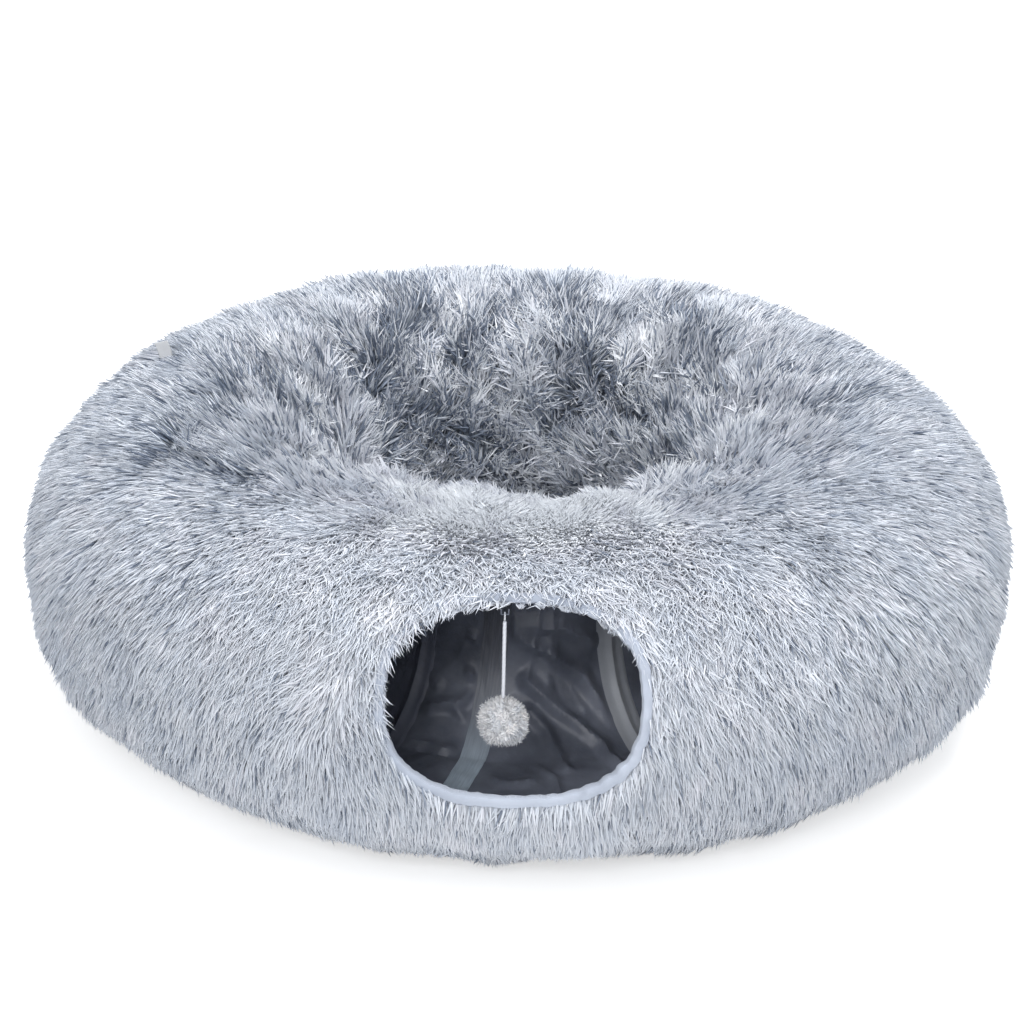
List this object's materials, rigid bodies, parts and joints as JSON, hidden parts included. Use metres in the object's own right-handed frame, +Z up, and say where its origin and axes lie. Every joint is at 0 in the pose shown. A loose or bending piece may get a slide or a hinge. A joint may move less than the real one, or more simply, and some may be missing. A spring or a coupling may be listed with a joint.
{
  "type": "cat tunnel bed",
  "caption": "Ring-shaped plush pet tunnel with a bound entrance, spring-wire hoops, a hanging pom-pom and a loose mat in its well.",
  "frame": {"origin": "centre of the ring on the floor", "axes": "+Z up out of the well, -Y out through the entrance, +X to the right as seen from the front"},
  "size_m": [0.8192, 0.8104, 0.2678],
  "materials": {
    "plush": "long frosted pile, pale tips over slate roots",
    "mat_plush": "shorter frosted pile",
    "wadding": "bonded polyester wadding",
    "lining": "thin crinkled dark grey polyester",
    "tape": "woven grey tape",
    "binding": "smooth pale lavender-grey bias binding",
    "spring_wire": "bare spring wire",
    "base_cloth": "dark cloth with small rubber dots",
    "filling": "loose polyester fibre",
    "zip_tape": "woven zip tape",
    "zip_metal": "satin",
    "cord": "round braided cord",
    "pompom": "fluffy off-white yarn",
    "label": "blank woven satin"
  },
  "bodies": {
    "ring": {"plush_front": "plush", "wadding_front": "wadding", "lining_front": "lining", "plush_right_side": "plush", "wadding_right_side": "wadding", "lining_right_side": "lining", "plush_right_back": "plush", "wadding_right_back": "wadding", "lining_right_back": "lining", "plush_left_back": "plush", "wadding_left_back": "wadding", "lining_left_back": "lining", "plush_left_side": "plush", "wadding_left_side": "wadding", "lining_left_side": "lining", "hoop_wire_1": "spring_wire", "hoop_wire_2": "spring_wire", "hoop_wire_3": "spring_wire", "hoop_wire_4": "spring_wire", "hoop_wire_5": "spring_wire", "hoop_wire_6": "spring_wire", "hoop_wire_7": "spring_wire", "hoop_wire_8": "spring_wire", "hoop_wire_9": "spring_wire", "hoop_casing_1": "tape", "hoop_casing_2": "tape", "hoop_casing_3": "tape", "hoop_casing_4": "tape", "hoop_casing_5": "tape", "hoop_casing_6": "tape", "hoop_casing_7": "tape", "hoop_casing_8": "tape", "hoop_casing_9": "tape", "lining_seam_tape": "tape", "entrance_binding": "binding", "entrance_wire": "spring_wire", "base_cloth": "base_cloth", "well_floor": "lining", "toy_tab": "tape", "side_label": "label"},
    "mat": {"mat_top": "mat_plush", "mat_bottom": "mat_plush", "mat_filling": "filling", "mat_piping": "mat_plush", "zip_tape": "zip_tape", "zip_teeth": "zip_metal"},
    "slider": {"zip_slider": "zip_metal"},
    "pull": {"zip_pull": "zip_metal"},
    "toy_hook": {"toy_loop": "cord"},
    "toy": {"toy_cord": "cord", "pompom": "pompom"}
  },
  "joints": [
    {"name": "mat_lift", "type": "slide", "parent": "ring", "child": "mat", "axis": [0, 0, 1], "range_m": [0, 0.28]},
    {"name": "zip_slide", "type": "hinge", "parent": "mat", "child": "slider", "pos_m": [0, 0, 0.0301], "axis": [0, 0, 1], "range_deg": [0, 74]},
    {"name": "pull_flip", "type": "hinge", "parent": "slider", "child": "pull", "pos_m": [0.06775, 0.0899, 0.0301], "axis": [0, 0, -1], "range_deg": [0, 150]},
    {"name": "toy_swing_fore", "type": "hinge", "parent": "ring", "child": "toy_hook", "pos_m": [-0.0092, -0.3337, 0.21956], "axis": [1, 0, 0], "range_deg": [-50, 60]},
    {"name": "toy_swing_side", "type": "hinge", "parent": "toy_hook", "child": "toy", "pos_m": [-0.0092, -0.3337, 0.21506], "axis": [0, 1, 0], "range_deg": [-45, 45]}
  ]
}
